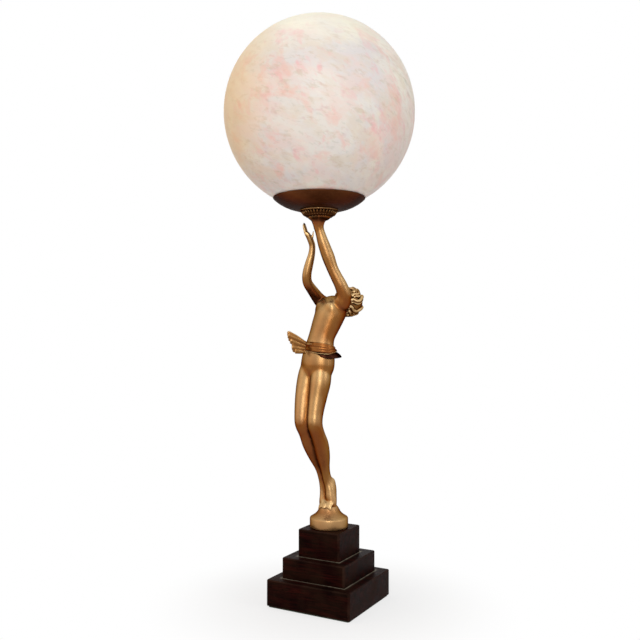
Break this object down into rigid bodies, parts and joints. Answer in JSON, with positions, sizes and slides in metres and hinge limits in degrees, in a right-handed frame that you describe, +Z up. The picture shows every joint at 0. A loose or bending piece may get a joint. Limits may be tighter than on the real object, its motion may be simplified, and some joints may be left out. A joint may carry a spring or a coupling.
{
  "type": "figural table lamp",
  "caption": "Figural table lamp: a bronze dancer on tiptoe, on a stepped square wooden base, raises a mottled glass globe on an outstretched hand.",
  "frame": {"origin": "centre of the base's underside", "axes": "+Z up; the square base's front faces -Y and its cord inlet faces +Y"},
  "size_m": [0.2, 0.2, 0.61],
  "materials": {
    "felt": "matt wool felt",
    "dark_wood": "dark stained hardwood, satin, worn at the edges",
    "pale_wood": "plain beech",
    "brass_fitting": "turned brass, satin",
    "steel": "zinc-plated",
    "moulded_black": "moulded",
    "bronze": "golden-brown patina, polished high spots",
    "gilt_bronze": "gilt, darker in the hollows",
    "brown_metal": "dark brown satin patina",
    "mottled_glass": "mottled cream, pink and tan glass",
    "porcelain": "glazed white",
    "solder": "bright",
    "bulb_glass": "frosted",
    "flex": "thin insulated twin wire"
  },
  "bodies": {
    "lamp": {"base_felt": "felt", "globe_cushion": "felt", "base_step_lower": "dark_wood", "base_step_middle": "dark_wood", "base_step_upper": "dark_wood", "step_dowels": "pale_wood", "cord_bushing": "brass_fitting", "clamp_rod": "steel", "clamp_washer": "steel", "clamp_nut": "brass_fitting", "terminal_block": "moulded_black", "terminal_screws": "steel", "figure_plinth": "bronze", "figure_body": "bronze", "figure_head": "bronze", "left_arm": "bronze", "right_arm": "bronze", "hip_sash": "bronze", "sash_fan": "bronze", "sash_hem": "bronze", "inner_flex": "flex", "support_cup": "gilt_bronze", "cup_nipple": "steel", "nipple_nut": "brass_fitting", "gallery_dish": "brown_metal", "holder_cap": "brass_fitting", "holder_shell": "brass_fitting", "holder_insulator": "porcelain", "screw_shell": "brass_fitting", "centre_contact": "brass_fitting"},
    "globe": {"globe_shade": "mottled_glass"},
    "bulb_seat": {"bulb_tip": "solder"},
    "bulb": {"bulb_vitrite": "moulded_black", "bulb_cap": "solder", "bulb_glass": "bulb_glass", "bulb_stem": "bulb_glass", "bulb_filament": "steel"}
  },
  "joints": [
    {"name": "globe_lift", "type": "slide", "parent": "lamp", "child": "globe", "axis": [0, 0, 1], "range_m": [0, 0.14]},
    {"name": "bulb_travel", "type": "slide", "parent": "lamp", "child": "bulb_seat", "axis": [0, 0, 1], "range_m": [0, 0.01811]},
    {"name": "bulb_unscrew", "type": "hinge", "parent": "bulb_seat", "child": "bulb", "pos_m": [-0.006, -0.0125, 0.446], "axis": [0, 0, 1], "range_deg": [0, 1800]}
  ],
  "couplings": [
    {"joint": "bulb_travel", "follows": "bulb_unscrew", "m_per_rad": 0.00057614}
  ]
}
